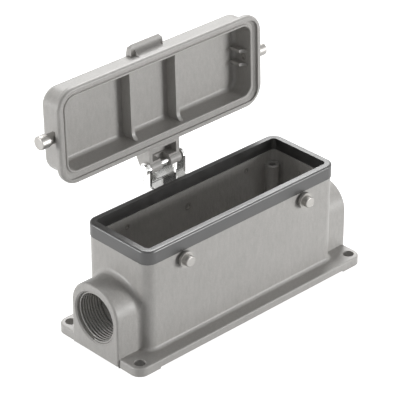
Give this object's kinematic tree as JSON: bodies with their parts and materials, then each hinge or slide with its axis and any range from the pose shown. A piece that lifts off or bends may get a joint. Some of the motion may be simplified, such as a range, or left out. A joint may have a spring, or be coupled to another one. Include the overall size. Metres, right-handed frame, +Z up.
{
  "type": "heavy duty rectangular connector housing",
  "caption": "Grey die-cast surface-mounting housing of a rectangular connector, with threaded side entries, black rim seal, locking pegs and a hinged cover standing open.",
  "frame": {"origin": "centre of the flange's underside", "axes": "+X along the housing, +Y towards the cover's hinge, +Z up from the mounting surface"},
  "size_m": [0.146, 0.0758, 0.1166],
  "materials": {
    "grey_paint": "light grey powder coat with a fine orange-peel texture, semi-gloss",
    "seal_rubber": "smooth black rubber with a soft sheen",
    "bright_steel": "bright rolled stainless steel",
    "dull_steel": "matt turned steel"
  },
  "bodies": {
    "housing_body": {"housing": "grey_paint", "rim_seal": "seal_rubber", "locking_peg_front_left": "dull_steel", "locking_peg_front_right": "dull_steel", "locking_peg_back_left": "dull_steel", "locking_peg_back_right": "dull_steel", "hinge_bracket": "bright_steel", "bracket_rivet": "dull_steel", "hinge_pin": "bright_steel"},
    "cover_body": {"cover": "grey_paint", "cover_peg_left": "dull_steel", "cover_peg_right": "dull_steel"}
  },
  "joints": [
    {"name": "cover_hinge", "type": "hinge", "parent": "housing_body", "child": "cover_body", "pos_m": [0, 0.0336, 0.0574], "axis": [1, 0, 0], "range_deg": [0, 91.8]}
  ]
}
